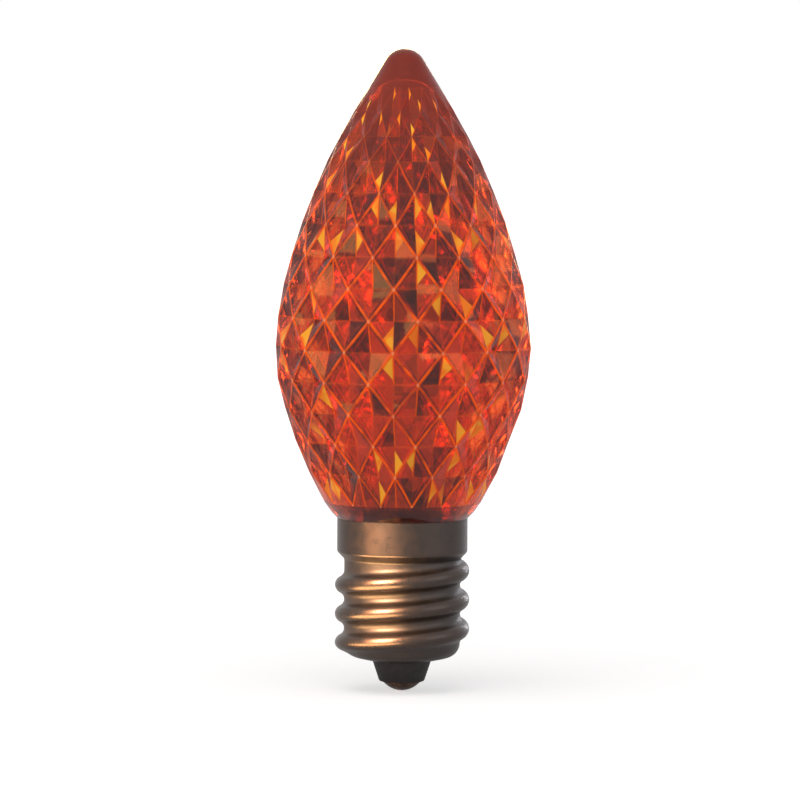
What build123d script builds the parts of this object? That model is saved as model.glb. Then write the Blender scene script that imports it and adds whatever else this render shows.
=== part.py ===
from build123d import *

import os
from math import acos, atan2, cos, hypot, radians, sin

# LED Christmas light bulb with a candelabra screw base and a hollow diamond-cut lens.
# Millimetres. +Z runs up the bulb's axis from the lowest point of its centre contact to
# the tip of the lens. The bulb is seen from -Y, and +X is then on the right.

# Screw shell, rolled from sheet metal
shell_sheet = 0.3
shell_bottom = 2.6
shell_opening_radius = 2.6
shell_curl_rise = 0.55
shell_curl_radius = 1.3
thread_crest_radius = 5.85
thread_crest_round = 0.8
thread_depth = 0.8
thread_pitch = 2.54
thread_root_land = 0.28
thread_foot_depth = 1.05
thread_start_height = 4.08
thread_start_angle = 170.0
thread_end_gap = 0.562
skirt_inset = 0.17
skirt_top = 15.05
skirt_height = 2.9
skirt_step_height = 0.65
skirt_round = 0.35
root_radius = thread_crest_radius - thread_depth
skirt_radius = thread_crest_radius - skirt_inset
skirt_bottom = skirt_top - skirt_height
thread_end_height = skirt_bottom - skirt_step_height - thread_end_gap
thread_turns = (thread_end_height - thread_start_height) / thread_pitch

# Black insulator and centre contact
insulator_bottom = 0.8
insulator_foot_radius = 1.95
insulator_fit = 0.05
insulator_flange_radius = 3.4
insulator_flange_height = 1.0
contact_dome_radius = 1.65
contact_shank_radius = 0.8
contact_hole_radius = 0.5
contact_hole_bottom = 1.2
contact_head_radius = 1.3
contact_head_height = 0.3

# Smooth outline of the lens, its heights as shares of its length above the skirt
lens_tip_height = 55.8
lens_tip_radius = 1.9
lens_tip_angle = 31.0
lens_belly_radius = 11.14
lens_belly_share = 0.3546
lens_shoulder_radius = 9.44
lens_shoulder_share = 0.589
lens_cone_radius = 6.37
lens_cone_share = 0.778
lens_lower_radius = 10.09
lens_lower_share = 0.2172
lens_throat_radius = 8.05
lens_throat_share = 0.0896
lens_neck_angle = 45.0
lens_wall = 1.6
lens_tip_wall = 3.2
lens_length = lens_tip_height - skirt_top

# Neck of the lens that plugs into the skirt, with a groove for the shell's wire
spigot_length = 2.15
spigot_wall = 1.2
spigot_fit = 0.05
spigot_bottom = skirt_top - spigot_length
spigot_radius = skirt_radius - shell_sheet - spigot_fit
bore_radius = spigot_radius - spigot_wall
wire_groove_depth = 0.6
wire_groove_width = 0.7
wire_groove_length = 1.75

# Cut diamonds of the lens: sunk four-sided pyramids between crossing ridges
diamonds_around = 16
diamond_turn = -94.6
diamond_depth = 0.75
first_ridge_rise = 1.45
last_ridge_drop = 3.3
body_ridges = 11
tip_ridges = 3
tip_ridge_share = 0.778

# Collar that holds the board in the neck
collar_fit = 0.05
collar_flange_height = 0.6
collar_plug_height = 2.0
collar_notch_depth = 1.05
collar_bottom = spigot_bottom - collar_flange_height

# Upright circuit board
board_margin = 0.73
board_thickness = 0.8
board_contact_gap = 1.35
board_top_share = 0.6123
board_fit = 0.1
board_corner = 0.6
board_width = 2 * (bore_radius - board_margin)
board_top = skirt_top + board_top_share * lens_length

# Light-emitting pieces
led_width = 3.5
led_height = 2.8
led_body = 1.1
led_window_radius = 1.15
led_window_rise = 0.45
led_window_round = 0.35
led_corner = 0.3
led_lower_share = 0.281
led_upper_share = 0.4773
led_lower_height = skirt_top + led_lower_share * lens_length
led_upper_height = skirt_top + led_upper_share * lens_length
top_led_radius = 1.5
top_led_flange_radius = 1.9
top_led_flange_height = 0.8
top_led_length = 4.0
top_led_gap = 1.2
top_led_leg = 0.5
top_led_leg_length = 4.0

# Wires
wire_bend = 0.6
wire_radius = 0.25
wire_pad_inset = 0.4
contact_wire_rise = 0.4
contact_wire_length = 2.4
shell_wire_length = 6.65
shell_wire_turn_drop = 4.65
shell_wire_seat_drop = 2.55
shell_wire_top_drop = 0.75
wire_pad_offset = board_width / 2 - wire_pad_inset

# Pieces that feed them
rectifier_wire_gap = 0.05
rectifier_body = 2.3
rectifier_rise = 0.7
rectifier_collar_gap = 1.3
rectifier_edge = 0.25
rectifier_leg_width = 0.7
rectifier_leg_length = 0.75
rectifier_leg_thickness = 0.25
rectifier_leg_spacing = 2.5
capacitor_shell_gap = 0.35
capacitor_rise = 0.4
capacitor_collar_gap = 0.9
capacitor_bead_height = 1.1
capacitor_bead_depth = 0.25
capacitor_edge = 0.25
resistor_radius = 1.1
resistor_waist_radius = 0.9
resistor_cap_length = 1.3
resistor_rise = 1.95
resistor_led_gap = 0.9
resistor_lead_radius = 0.25
resistor_lead_length = 1.2
resistor_edge = 0.18
resistor_gap = 0.15

os.makedirs("parts", exist_ok=True)


def around(angle):
    """Direction from the axis at an angle from +X."""
    return Vector(cos(radians(angle)), sin(radians(angle)), 0)


def save(piece, name):
    """Labels a finished piece and writes it under its own name."""
    piece.part.label = name
    export_step(piece.part, f"parts/{name}.step")


# Screw shell: the solid inside its outer skin less the solid inside its inner skin
crest_centre = thread_crest_radius - thread_crest_round


def bead_outline(inset):
    """Cross-section of the rolled thread, crest on +X, inset inwards from the outer skin."""
    foot_rise = root_radius - crest_centre
    half_width = (thread_pitch - thread_root_land) / 2
    flank = atan2(half_width, foot_rise) - acos(thread_crest_round / hypot(foot_rise, half_width))
    crest_round = thread_crest_round - inset
    shoulder = Vector(crest_centre + crest_round * cos(flank), crest_round * sin(flank))
    root = root_radius - inset
    foot_y = shoulder.Y + (shoulder.X - root) / sin(flank) * cos(flank)
    foot = root_radius - thread_foot_depth
    ThreePointArc((shoulder.X, -shoulder.Y), (crest_centre + crest_round, 0), shoulder)
    Polyline(
        shoulder,
        (root, foot_y),
        (foot, foot_y),
        (foot, -foot_y),
        (root, -foot_y),
        (shoulder.X, -shoulder.Y),
    )


def skin_body(inset):
    """Solid inside one skin of the threaded shell."""
    bottom = shell_bottom + inset
    curl = (root_radius - inset, bottom + shell_curl_rise)
    step = (root_radius - inset, skirt_bottom - skirt_step_height)
    skirt = (skirt_radius - inset, skirt_bottom)
    with BuildPart() as skin:
        with BuildSketch(Plane.XZ) as section:
            with BuildLine():
                Polyline(
                    (0, bottom),
                    (shell_opening_radius, bottom),
                    curl,
                    step,
                    skirt,
                    (skirt_radius - inset, skirt_top),
                    (0, skirt_top),
                    close=True,
                )
            make_face()
            fillet(section.vertices().sort_by_distance(curl)[0], radius=shell_curl_radius - inset)
            fillet(section.vertices().sort_by_distance(step)[0], radius=skirt_round)
            fillet(section.vertices().sort_by_distance(skirt)[0], radius=skirt_round)
        revolve(axis=Axis.Z)
        with BuildLine(Plane.XY.offset(thread_start_height)) as helix:
            Helix(thread_pitch, thread_pitch * thread_turns, crest_centre)
        path = helix.line.rotate(Axis.Z, thread_start_angle)
        start = (0, 0, thread_start_height)
        with BuildSketch(Plane(start, x_dir=around(thread_start_angle), z_dir=path % 0)):
            with BuildLine():
                bead_outline(inset)
            make_face()
        sweep(path=path, is_frenet=True)
    return skin.part


with BuildPart() as screw_shell:
    add(skin_body(0))
    add(skin_body(shell_sheet), mode=Mode.SUBTRACT)
    Cylinder(shell_opening_radius, skirt_top, mode=Mode.SUBTRACT)
save(screw_shell, "screw_shell")

# Insulator: a foot below the shell, a neck through its opening and a flange inside it
flange_seat = shell_bottom + shell_sheet + insulator_fit
flange_slope = shell_curl_rise / (root_radius - shell_sheet - shell_opening_radius)
insulator_top = flange_seat + insulator_flange_height
insulator_neck = shell_opening_radius - insulator_fit
with BuildPart() as base_insulator:
    with BuildSketch(Plane.XZ):
        with BuildLine():
            Polyline(
                (contact_shank_radius + insulator_fit, insulator_bottom),
                (insulator_foot_radius, insulator_bottom),
                (insulator_neck, shell_bottom),
                (insulator_neck, flange_seat),
                (
                    insulator_flange_radius,
                    flange_seat + flange_slope * (insulator_flange_radius - shell_opening_radius),
                ),
                (insulator_flange_radius, insulator_top),
                (contact_shank_radius + insulator_fit, insulator_top),
                close=True,
            )
        make_face()
    revolve(axis=Axis.Z)
save(base_insulator, "base_insulator")

# Centre contact: a hollow rivet whose domed head is the lowest point of the bulb
contact_top = insulator_top + contact_head_height
dome_sphere = (contact_dome_radius**2 + insulator_bottom**2) / (2 * insulator_bottom)
dome_rim_angle = atan2(contact_dome_radius, dome_sphere - insulator_bottom)
dome_middle = (
    dome_sphere * sin(dome_rim_angle / 2),
    dome_sphere * (1 - cos(dome_rim_angle / 2)),
)
with BuildPart() as center_contact:
    with BuildSketch(Plane.XZ):
        with BuildLine():
            ThreePointArc((0, 0), dome_middle, (contact_dome_radius, insulator_bottom))
            Polyline(
                (contact_dome_radius, insulator_bottom),
                (contact_shank_radius, insulator_bottom),
                (contact_shank_radius, insulator_top),
                (contact_head_radius, insulator_top),
                (contact_head_radius, contact_top),
                (contact_hole_radius, contact_top),
                (contact_hole_radius, contact_hole_bottom),
                (0, contact_hole_bottom),
                (0, 0),
            )
        make_face()
    revolve(axis=Axis.Z)
save(center_contact, "center_contact")

# Outline of the lens from the rim of the skirt to the tip, on which its ridges cross
tip_cone = radians(lens_tip_angle)
tip_middle_angle = (tip_cone + radians(90)) / 2
tip_centre_height = lens_tip_height - lens_tip_radius
tip_foot = (
    lens_tip_radius * cos(tip_cone),
    tip_centre_height + lens_tip_radius * sin(tip_cone),
)
tip_middle = (
    lens_tip_radius * cos(tip_middle_angle),
    tip_centre_height + lens_tip_radius * sin(tip_middle_angle),
)
belly = (lens_belly_radius, skirt_top + lens_belly_share * lens_length)
with BuildLine() as lens_outline:
    Spline(
        (skirt_radius, skirt_top),
        (lens_throat_radius, skirt_top + lens_throat_share * lens_length),
        (lens_lower_radius, skirt_top + lens_lower_share * lens_length),
        belly,
        tangents=[around(90 - lens_neck_angle), (0, 1)],
    )
    Spline(
        belly,
        (lens_shoulder_radius, skirt_top + lens_shoulder_share * lens_length),
        (lens_cone_radius, skirt_top + lens_cone_share * lens_length),
        tip_foot,
        tangents=[(0, 1), around(90 + lens_tip_angle)],
    )
    ThreePointArc(tip_foot, tip_middle, (0, lens_tip_height))
outline_wire = lens_outline.wire()


def outline_at(height):
    """Point of the outline at a height, and its outward normal, with the radius along X."""
    low = 0.0
    high = 1.0
    for _ in range(40):
        middle = (low + high) / 2
        if (outline_wire @ middle).Y < height:
            low = middle
        else:
            high = middle
    tangent = outline_wire % low
    return outline_wire @ low, Vector(tangent.Y, -tangent.X)


# Heights of the rings of crossings, closer together near the tip
first_ridge_height = skirt_top + first_ridge_rise
ridged_length = lens_tip_height - last_ridge_drop - first_ridge_height
body_ridge_rise = ridged_length / (body_ridges + tip_ridges * tip_ridge_share)
tip_ridge_rise = body_ridge_rise * tip_ridge_share
ridge_heights = [first_ridge_height + body_ridge_rise * i for i in range(body_ridges + 1)]
ridge_heights += [ridge_heights[-1] + tip_ridge_rise * (i + 1) for i in range(tip_ridges)]
outline_points = [outline_at(height) for height in ridge_heights]
last_ring = len(ridge_heights) - 1
half_diamond = 180 / diamonds_around


def crossing(ring, step):
    """Where two ridges cross: a point of the outline, some half diamonds round from the front."""
    point, _ = outline_points[ring]
    return around(diamond_turn + half_diamond * step) * point.X + Vector(0, 0, point.Y)


def pit(ring, step):
    """Lowest point of a diamond, sunk below the flat between its two side corners."""
    point, normal = outline_points[ring]
    depth = diamond_depth * point.X / lens_belly_radius
    radius = point.X * cos(radians(half_diamond)) - depth * normal.X
    return around(diamond_turn + half_diamond * step) * radius + Vector(0, 0, point.Y - depth * normal.Y)


def flat(*corners):
    """One flat facet."""
    return Face(Wire.make_polygon(corners))


def ring_facets(ring, step):
    """Facets of the diamond, or of the half diamond at either end, that is centred here."""
    left = crossing(ring, step - 1)
    right = crossing(ring, step + 1)
    if ring == 0:
        return [flat(left, right, crossing(1, step))]
    if ring == last_ring:
        return [flat(left, crossing(ring - 1, step), right)]
    lower = crossing(ring - 1, step)
    upper = crossing(ring + 1, step)
    centre = pit(ring, step)
    corners = [left, lower, right, upper, left]
    return [flat(corners[i], corners[i + 1], centre) for i in range(4)]


facets = []
for ring in range(last_ring + 1):
    for step in range(ring % 2, 2 * diamonds_around, 2):
        facets += ring_facets(ring, step)
for ring in (0, last_ring):
    facets.append(flat(*[crossing(ring, step) for step in range((ring + 1) % 2, 2 * diamonds_around, 2)]))

# The wires lie on the faces of the board, and the shell's wire stays in the plane of its pad
board_face = board_thickness / 2
pad_face = board_face + wire_radius

# Lens: the cut body, the smooth neck below it and the smooth tip above it, less the hollow
neck_top, _ = outline_points[0]
neck_middle, _ = outline_at((skirt_top + first_ridge_height) / 2)
tip_bottom, _ = outline_points[last_ring]
inner_points = [point - normal * lens_wall for point, normal in outline_points[::2]]
with BuildPart() as lens:
    add(Solid(Shell(facets)))
    with BuildSketch(Plane.XZ):
        with BuildLine():
            ThreePointArc((skirt_radius, skirt_top), neck_middle, neck_top)
            Polyline(
                neck_top,
                (0, neck_top.Y),
                (0, spigot_bottom),
                (spigot_radius, spigot_bottom),
                (spigot_radius, skirt_top),
                (skirt_radius, skirt_top),
            )
        make_face()
    revolve(axis=Axis.Z)
    with BuildSketch(Plane.XZ):
        with BuildLine():
            Polyline((0, lens_tip_height), (0, tip_bottom.Y), tip_bottom, tip_foot)
            ThreePointArc(tip_foot, tip_middle, (0, lens_tip_height))
        make_face()
    revolve(axis=Axis.Z)
    with BuildSketch(Plane.XZ):
        with BuildLine():
            Spline(
                (bore_radius, skirt_top),
                *inner_points,
                (0, lens_tip_height - lens_tip_wall),
                tangents=[around(90 - lens_neck_angle), (-1, 0)],
            )
            Polyline(
                (0, lens_tip_height - lens_tip_wall),
                (0, spigot_bottom),
                (bore_radius, spigot_bottom),
                (bore_radius, skirt_top),
            )
        make_face()
    revolve(axis=Axis.Z, mode=Mode.SUBTRACT)
    with Locations((spigot_radius, pad_face, spigot_bottom)):
        Box(
            2 * wire_groove_depth,
            wire_groove_width,
            wire_groove_length,
            align=(Align.CENTER, Align.CENTER, Align.MIN),
            mode=Mode.SUBTRACT,
        )
save(lens, "lens")

# Collar: its flange is trapped under the neck of the lens, and its plug fills the bore
with BuildPart() as board_collar:
    with Locations((0, 0, collar_bottom)):
        Cylinder(
            spigot_radius,
            collar_flange_height,
            align=(Align.CENTER, Align.CENTER, Align.MIN),
        )
        Cylinder(
            bore_radius - collar_fit,
            collar_flange_height + collar_plug_height,
            align=(Align.CENTER, Align.CENTER, Align.MIN),
        )
    with BuildSketch(Plane.XY.offset(collar_bottom)):
        Rectangle(board_width + 2 * board_fit, board_thickness + 2 * board_fit)
        with Locations((spigot_radius, pad_face)):
            Rectangle(2 * collar_notch_depth, wire_groove_width)
    extrude(amount=collar_flange_height + collar_plug_height, mode=Mode.SUBTRACT)
save(board_collar, "board_collar")

# Circuit board, upright on the axis
board_bottom = contact_top + board_contact_gap
with BuildPart() as circuit_board:
    with BuildSketch(Plane.XZ) as board_face_sketch:
        with Locations((0, (board_bottom + board_top) / 2)):
            Rectangle(board_width, board_top - board_bottom)
        chamfer(board_face_sketch.vertices(), length=board_corner)
    extrude(amount=board_thickness / 2, both=True)
save(circuit_board, "circuit_board")


# Four flat light-emitting pieces, two on each face of the board
def flat_led(side, height):
    """A moulded body with a low clear window, on the front (-1) or the back (1) of the board."""
    seat = Plane((0, side * board_face, height), x_dir=(1, 0, 0), z_dir=(0, side, 0))
    with BuildPart(seat) as led:
        Box(led_width, led_height, led_body, align=(Align.CENTER, Align.CENTER, Align.MIN))
        corner = led.edges().filter_by(Axis.Y).sort_by_distance(
            seat.from_local_coords((led_width / 2, led_height / 2, led_body / 2))
        )[0]
        chamfer(corner, length=led_corner)
        Cylinder(
            led_window_radius,
            led_body + led_window_rise,
            align=(Align.CENTER, Align.CENTER, Align.MIN),
        )
        fillet(led.faces().sort_by(Axis.Y)[-1 if side > 0 else 0].edges(), radius=led_window_round)
    return led


for face_name, side in (("front", -1), ("back", 1)):
    for level_name, height in (("lower", led_lower_height), ("upper", led_upper_height)):
        save(flat_led(side, height), f"led_{face_name}_{level_name}")

# Round light-emitting piece that looks up into the tip, its legs astride the board
top_led_seat = board_top + top_led_gap
top_led_neck = top_led_seat + top_led_length - top_led_radius
with BuildPart() as led_top:
    with BuildSketch(Plane.XZ):
        with BuildLine():
            Polyline(
                (0, top_led_seat + top_led_length),
                (0, top_led_seat),
                (top_led_flange_radius, top_led_seat),
                (top_led_flange_radius, top_led_seat + top_led_flange_height),
                (top_led_radius, top_led_seat + top_led_flange_height),
                (top_led_radius, top_led_neck),
            )
            RadiusArc(
                (top_led_radius, top_led_neck),
                (0, top_led_seat + top_led_length),
                -top_led_radius,
            )
        make_face()
    revolve(axis=Axis.Z)
    leg_offset = board_face + top_led_leg / 2
    with Locations((0, -leg_offset, top_led_seat), (0, leg_offset, top_led_seat)):
        Box(
            top_led_leg,
            top_led_leg,
            top_led_leg_length,
            align=(Align.CENTER, Align.CENTER, Align.MAX),
        )
save(led_top, "led_top")

# Bridge rectifier on the front of the board, inside the shell, its legs clear of the wires
rectifier_width = 2 * (wire_pad_offset - wire_radius - rectifier_wire_gap - rectifier_leg_length)
rectifier_bottom = board_bottom + rectifier_rise
rectifier_height = collar_bottom - rectifier_collar_gap - rectifier_bottom
rectifier_middle = rectifier_bottom + rectifier_height / 2
rectifier_seat = Plane((0, -board_face, rectifier_middle), x_dir=(1, 0, 0), z_dir=(0, -1, 0))
with BuildPart(rectifier_seat) as bridge_rectifier:
    Box(rectifier_width, rectifier_height, rectifier_body, align=(Align.CENTER, Align.CENTER, Align.MIN))
    chamfer(bridge_rectifier.faces().sort_by(Axis.Y)[0].edges(), length=rectifier_edge)
    with GridLocations(rectifier_width + rectifier_leg_length, rectifier_leg_spacing, 2, 2):
        Box(
            rectifier_leg_length,
            rectifier_leg_width,
            rectifier_leg_thickness,
            align=(Align.CENTER, Align.CENTER, Align.MIN),
        )
save(bridge_rectifier, "bridge_rectifier")

# Smoothing capacitor standing along the back of the board, a can with a rolled groove
capacitor_radius = (root_radius - shell_sheet - capacitor_shell_gap - board_face) / 2
capacitor_bottom = board_bottom + capacitor_rise
capacitor_height = collar_bottom - capacitor_collar_gap - capacitor_bottom
bead_bottom = capacitor_bottom + capacitor_bead_height
with BuildPart(Plane((0, board_face + capacitor_radius, 0))) as smoothing_capacitor:
    with Locations((0, 0, capacitor_bottom)):
        Cylinder(capacitor_radius, capacitor_height, align=(Align.CENTER, Align.CENTER, Align.MIN))
    chamfer(smoothing_capacitor.edges().filter_by(GeomType.CIRCLE), length=capacitor_edge)
    with Locations((0, 0, bead_bottom)):
        Torus(capacitor_radius, capacitor_bead_depth, mode=Mode.SUBTRACT)
save(smoothing_capacitor, "smoothing_capacitor")

# Series resistor above the collar on the front of the board, with its two bent leads
resistor_axis = board_face + resistor_gap + resistor_radius
resistor_bottom = skirt_top + resistor_rise
resistor_top = led_lower_height - led_height / 2 - resistor_led_gap - resistor_lead_length
resistor_length = resistor_top - resistor_bottom
with BuildPart() as series_resistor:
    with Locations((0, -resistor_axis, (resistor_bottom + resistor_top) / 2)):
        Cylinder(resistor_waist_radius, resistor_length)
    for cap_bottom in (resistor_bottom, resistor_top - resistor_cap_length):
        with Locations((0, -resistor_axis, cap_bottom)):
            Cylinder(
                resistor_radius,
                resistor_cap_length,
                align=(Align.CENTER, Align.CENTER, Align.MIN),
            )
    fillet(series_resistor.edges().filter_by(GeomType.CIRCLE).group_by(SortBy.RADIUS)[-1], radius=resistor_edge)
    for end, away in ((resistor_bottom, -1), (resistor_top, 1)):
        with BuildLine() as lead:
            FilletPolyline(
                (0, -resistor_axis, end),
                (0, -resistor_axis, end + away * resistor_lead_length),
                (0, -board_face, end + away * resistor_lead_length),
                radius=wire_bend,
            )
        with BuildSketch(Plane(lead.line @ 0, z_dir=lead.line % 0)):
            Circle(resistor_lead_radius)
        sweep(path=lead.line)
save(series_resistor, "series_resistor")


# Wires
def wire_along(*points):
    """A round wire through straight runs with rounded bends."""
    with BuildPart() as wire:
        with BuildLine() as route:
            FilletPolyline(*points, radius=wire_bend)
        with BuildSketch(Plane(route.line @ 0, z_dir=route.line % 0)):
            Circle(wire_radius)
        sweep(path=route.line)
    return wire


# The contact's wire turns upright below the board, so it never cuts the board's lower edge
contact_wire = wire_along(
    (0, 0, contact_hole_bottom),
    (0, 0, contact_top + contact_wire_rise),
    (-wire_pad_offset, -pad_face, board_bottom - wire_bend),
    (-wire_pad_offset, -pad_face, board_bottom + contact_wire_length),
)
save(contact_wire, "contact_wire")

groove_x = (spigot_radius**2 - pad_face**2) ** 0.5 - wire_radius
shell_wire = wire_along(
    (wire_pad_offset, pad_face, skirt_top - shell_wire_length),
    (wire_pad_offset, pad_face, skirt_top - shell_wire_turn_drop),
    (groove_x, pad_face, skirt_top - shell_wire_seat_drop),
    (groove_x, pad_face, skirt_top - shell_wire_top_drop),
)
save(shell_wire, "shell_wire")
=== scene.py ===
"""Looks of a faceted LED Christmas light bulb: its pieces, finishes, studio and camera.

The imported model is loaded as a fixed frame. The lens, the threaded shell, the insulator and the
centre contact are modelled again with finer edges in the same places, and the pieces inside the
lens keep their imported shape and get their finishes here. Lengths are named in millimetres and
turned into metres where a mesh is made.
"""

import logging
import math
from collections import Counter
from collections.abc import Callable, Iterator, Sequence
from contextlib import contextmanager
from dataclasses import dataclass
from enum import Enum

import bpy
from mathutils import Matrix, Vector


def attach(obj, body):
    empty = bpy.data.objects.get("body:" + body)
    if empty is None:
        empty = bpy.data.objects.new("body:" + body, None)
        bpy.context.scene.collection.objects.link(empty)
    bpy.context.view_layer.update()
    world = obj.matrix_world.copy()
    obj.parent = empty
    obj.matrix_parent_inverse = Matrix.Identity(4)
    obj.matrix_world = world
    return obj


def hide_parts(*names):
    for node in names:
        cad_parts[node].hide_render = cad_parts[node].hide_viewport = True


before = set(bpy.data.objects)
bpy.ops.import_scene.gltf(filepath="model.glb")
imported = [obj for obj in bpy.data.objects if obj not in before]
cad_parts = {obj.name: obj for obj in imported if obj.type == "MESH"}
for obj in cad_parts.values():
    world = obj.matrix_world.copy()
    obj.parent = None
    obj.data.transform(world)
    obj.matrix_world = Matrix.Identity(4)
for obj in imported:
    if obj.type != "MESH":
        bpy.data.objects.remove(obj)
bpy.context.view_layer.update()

MM = 0.001
log = logging.getLogger("bulb")

Colour = tuple[float, float, float]
Point = tuple[float, float]
Outline = list[Point]
Piece = bpy.types.Object
Socket = bpy.types.NodeSocket
# The two values that a ramp runs between, and what it gives at each
Ramp = tuple[float, float, float, float]


# Working at the mesh bench


class Pick(Enum):
    """What an edit works on."""

    VERTICES = "VERT"
    EDGES = "EDGE"
    FACES = "FACE"


def take(piece: Piece) -> None:
    """Selects one object alone and makes it the active one.

    Args:
        piece: The object to work on.
    """
    bpy.ops.object.select_all(action="DESELECT")
    piece.select_set(True)
    bpy.context.view_layer.objects.active = piece


@contextmanager
def editing(piece: Piece, pick: Pick) -> Iterator[None]:
    """Opens a piece in edit mode with the selection that its mesh already has.

    Args:
        piece: The object to edit.
        pick: What the selection is made of.
    """
    take(piece)
    bpy.ops.object.mode_set(mode="EDIT")
    bpy.ops.mesh.select_mode(type=pick.value)
    yield
    bpy.ops.object.mode_set(mode="OBJECT")


def clear_mesh_selection(mesh: bpy.types.Mesh) -> None:
    """Deselects every vertex, edge and face of a mesh."""
    for group in (mesh.vertices, mesh.edges, mesh.polygons):
        group.foreach_set("select", [False] * len(group))


def select_edges(mesh: bpy.types.Mesh, test: Callable[[bpy.types.MeshEdge], bool]) -> None:
    """Selects the edges that pass a test, with their ends, and nothing else.

    Args:
        mesh: The mesh that is searched.
        test: Says whether an edge belongs.
    """
    clear_mesh_selection(mesh)
    for edge in mesh.edges:
        if test(edge):
            edge.select = True
            for index in edge.vertices:
                mesh.vertices[index].select = True


def apply_modifier(piece: Piece, kind: str, **settings: object) -> None:
    """Adds a modifier with its settings and applies it.

    Args:
        piece: The object that gets it.
        kind: Blender's name for the modifier.
        **settings: The modifier's own values.
    """
    take(piece)
    modifier = piece.modifiers.new(kind.lower(), kind)
    for name, value in settings.items():
        setattr(modifier, name, value)
    bpy.ops.object.modifier_apply(modifier=modifier.name)


def close_up(piece: Piece, distance: float = 1e-7) -> None:
    """Merges doubled vertices and turns every face outwards.

    Args:
        piece: The object to tidy.
        distance: How near two vertices are one, in metres.
    """
    clear_mesh_selection(piece.data)
    with editing(piece, Pick.VERTICES):
        bpy.ops.mesh.select_all(action="SELECT")
        bpy.ops.mesh.remove_doubles(threshold=distance)
        bpy.ops.mesh.normals_make_consistent(inside=False)


def shade(piece: Piece, angle: float) -> None:
    """Smooths a piece across its soft edges and keeps its flat facets flat.

    Args:
        piece: The object to shade.
        angle: Edges sharper than this stay sharp, in degrees.
    """
    take(piece)
    bpy.ops.object.shade_smooth_by_angle(angle=math.radians(angle))


def rounded(corners: Sequence[tuple[float, float, float]], steps: int = 6) -> Outline:
    """Rounds the corners of an outline.

    Args:
        corners: Radius, height and rounding of each corner, in millimetres.
        steps: How many runs a rounded corner is made of.

    Returns:
        The points of the rounded outline.
    """
    points: Outline = []
    for index, (radius, height, rounding) in enumerate(corners):
        here = Vector((radius, height))
        if rounding <= 0 or index in (0, len(corners) - 1):
            points.append((radius, height))
            continue
        back = (Vector(corners[index - 1][:2]) - here).normalized()
        ahead = (Vector(corners[index + 1][:2]) - here).normalized()
        half = back.angle(ahead) / 2
        reach = rounding / math.tan(half)
        centre = here + (back + ahead).normalized() * (rounding / math.sin(half))
        first = here + back * reach - centre
        sweep = math.pi - 2 * half
        turn = 1 if first.x * (here - centre).y - first.y * (here - centre).x > 0 else -1
        for step in range(steps + 1):
            angle = turn * sweep * step / steps
            cos, sin = math.cos(angle), math.sin(angle)
            points.append(
                (
                    centre.x + first.x * cos - first.y * sin,
                    centre.y + first.x * sin + first.y * cos,
                )
            )
    return points


def between(one: Point, other: Point, share: float) -> Point:
    """The point that lies a share of the way from one point of an outline to another."""
    return tuple(a * (1 - share) + b * share for a, b in zip(one, other))


def divided(outline: Outline, spacing: float) -> Outline:
    """Adds points to the long runs of an outline.

    Args:
        outline: The points to start from, in millimetres.
        spacing: The longest run that stays, in millimetres.

    Returns:
        The outline with its runs divided evenly.
    """
    points: Outline = [outline[0]]
    for (r0, z0), (r1, z1) in zip(outline, outline[1:]):
        runs = max(1, math.ceil(math.hypot(r1 - r0, z1 - z0) / spacing))
        for run in range(1, runs + 1):
            points.append((r0 + (r1 - r0) * run / runs, z0 + (z1 - z0) * run / runs))
    return points


def turned(
    name: str, outline: Outline, steps: int, closed: bool = False, start: float = 0.0
) -> Piece:
    """Turns an outline about the bulb's axis, as on a lathe.

    Args:
        name: The name of the new object.
        outline: Radius and height of each point, in millimetres.
        steps: How many steps the turn takes.
        closed: Whether the outline is a loop, as for a ring.
        start: The angle of the first column, in degrees from +X.

    Returns:
        The turned object, its faces outwards.
    """
    bpy.ops.object.select_all(action="DESELECT")
    bpy.ops.mesh.primitive_circle_add(vertices=len(outline), radius=MM, fill_type="NOTHING")
    piece = bpy.context.object
    piece.name = piece.data.name = name
    along = Vector((math.cos(math.radians(start)), math.sin(math.radians(start)), 0))
    for vertex, (radius, height) in zip(piece.data.vertices, outline):
        vertex.co = along * radius * MM + Vector((0, 0, height * MM))
    if not closed:
        last = len(outline) - 1
        select_edges(piece.data, lambda edge: set(edge.vertices) == {0, last})
        with editing(piece, Pick.EDGES):
            bpy.ops.mesh.delete(type="EDGE_FACE")
    with editing(piece, Pick.VERTICES):
        bpy.ops.mesh.select_all(action="SELECT")
        bpy.ops.mesh.spin(
            steps=steps, angle=math.tau, center=(0, 0, 0), axis=(0, 0, 1), use_auto_merge=True
        )
    close_up(piece)
    return piece


def install(piece: Piece, material: bpy.types.Material, node: str) -> None:
    """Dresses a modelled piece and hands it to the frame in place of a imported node.

    Args:
        piece: The finished object.
        material: Its finish.
        node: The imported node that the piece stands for.
    """
    piece.data.materials.clear()
    piece.data.materials.append(material)
    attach(piece, "root")
    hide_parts(node)
    log.info("%s: %d faces, in place of %s", piece.name, len(piece.data.polygons), node)


# Finishes


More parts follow.
